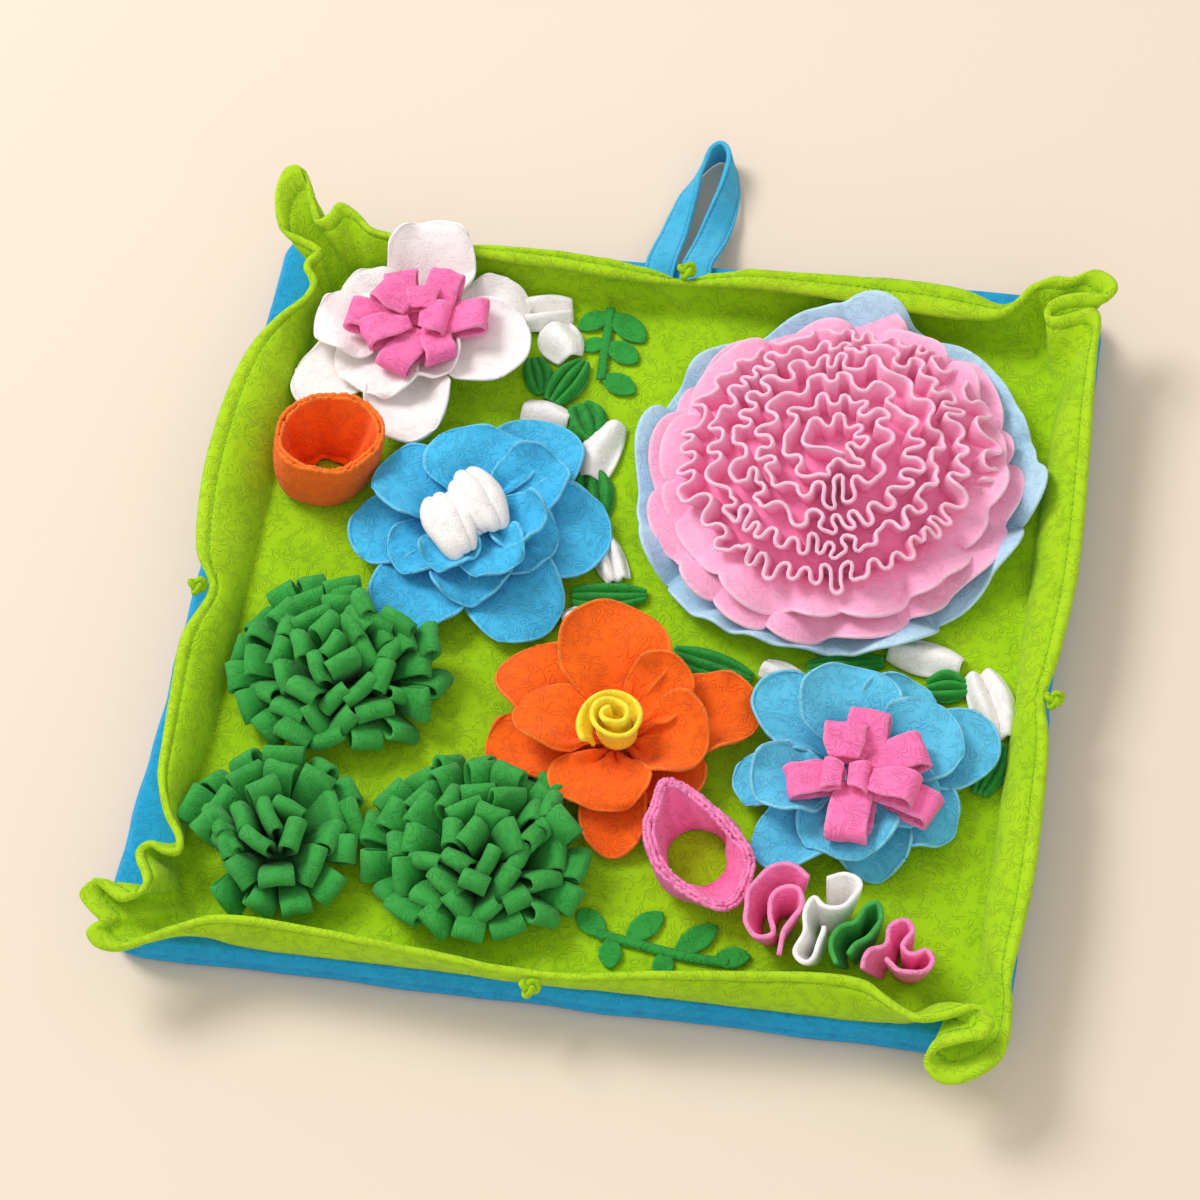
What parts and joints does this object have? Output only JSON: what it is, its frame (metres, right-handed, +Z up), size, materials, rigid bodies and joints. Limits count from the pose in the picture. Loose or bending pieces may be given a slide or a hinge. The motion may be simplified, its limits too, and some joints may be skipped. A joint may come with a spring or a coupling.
{
  "type": "snuffle mat",
  "caption": "Square padded fleece foraging mat for a dog: a stand-up rim gathered at the corners, sewn fleece flowers, tufts, a cup and a ring that hide dry food.",
  "frame": {"origin": "middle of the padded base's flat underside", "axes": "+Z up, +Y towards the hanging strap at the back, +X to the mat's right"},
  "size_m": [0.4893, 0.5998, 0.0755],
  "materials": {
    "pad_blue": "matt fleece",
    "lime": "matt fleece",
    "strap_blue": "matt fleece",
    "white": "matt fleece",
    "pink": "matt fleece",
    "orange": "matt fleece",
    "blue": "matt fleece",
    "yellow": "matt fleece",
    "sky": "matt fleece",
    "light_blue": "matt fleece",
    "ruffle_pink": "matt fleece",
    "leaf": "matt fleece"
  },
  "bodies": {
    "root": {"base_pad": "pad_blue", "top_sheet": "lime", "knot_left": "lime", "knot_back": "lime", "knot_right": "lime", "knot_front": "lime", "hang_strap": "strap_blue", "white_petals_outer": "white", "white_petals_inner": "white", "white_loops": "pink", "orange_cup": "orange", "blue_petals_outer": "blue", "blue_petals_middle": "blue", "blue_petals_fold": "blue", "white_core": "white", "orange_petals_outer": "orange", "orange_petals_inner": "orange", "yellow_rosette": "yellow", "sky_petals_outer": "sky", "sky_petals_inner": "sky", "sky_loops": "pink", "carnation_base": "light_blue", "carnation_ruffle": "ruffle_pink", "tuft_left": "leaf", "tuft_corner": "leaf", "tuft_front": "leaf", "pink_ring": "pink", "strip_pink": "pink", "strip_white": "white", "strip_green": "leaf", "strip_rosette": "pink", "sprig_back": "leaf", "sprig_front": "leaf", "bud_1": "white", "bud_2": "white", "bud_3": "white", "bud_4": "white", "bud_5": "white", "bud_6": "white", "bud_7": "white", "bud_8": "white", "bud_9": "white", "leaf_1": "leaf", "leaf_2": "leaf", "leaf_3": "leaf", "leaf_4": "leaf", "leaf_5": "leaf", "leaf_6": "leaf", "leaf_7": "leaf", "leaf_8": "leaf", "leaf_9": "leaf"}
  },
  "joints": []
}
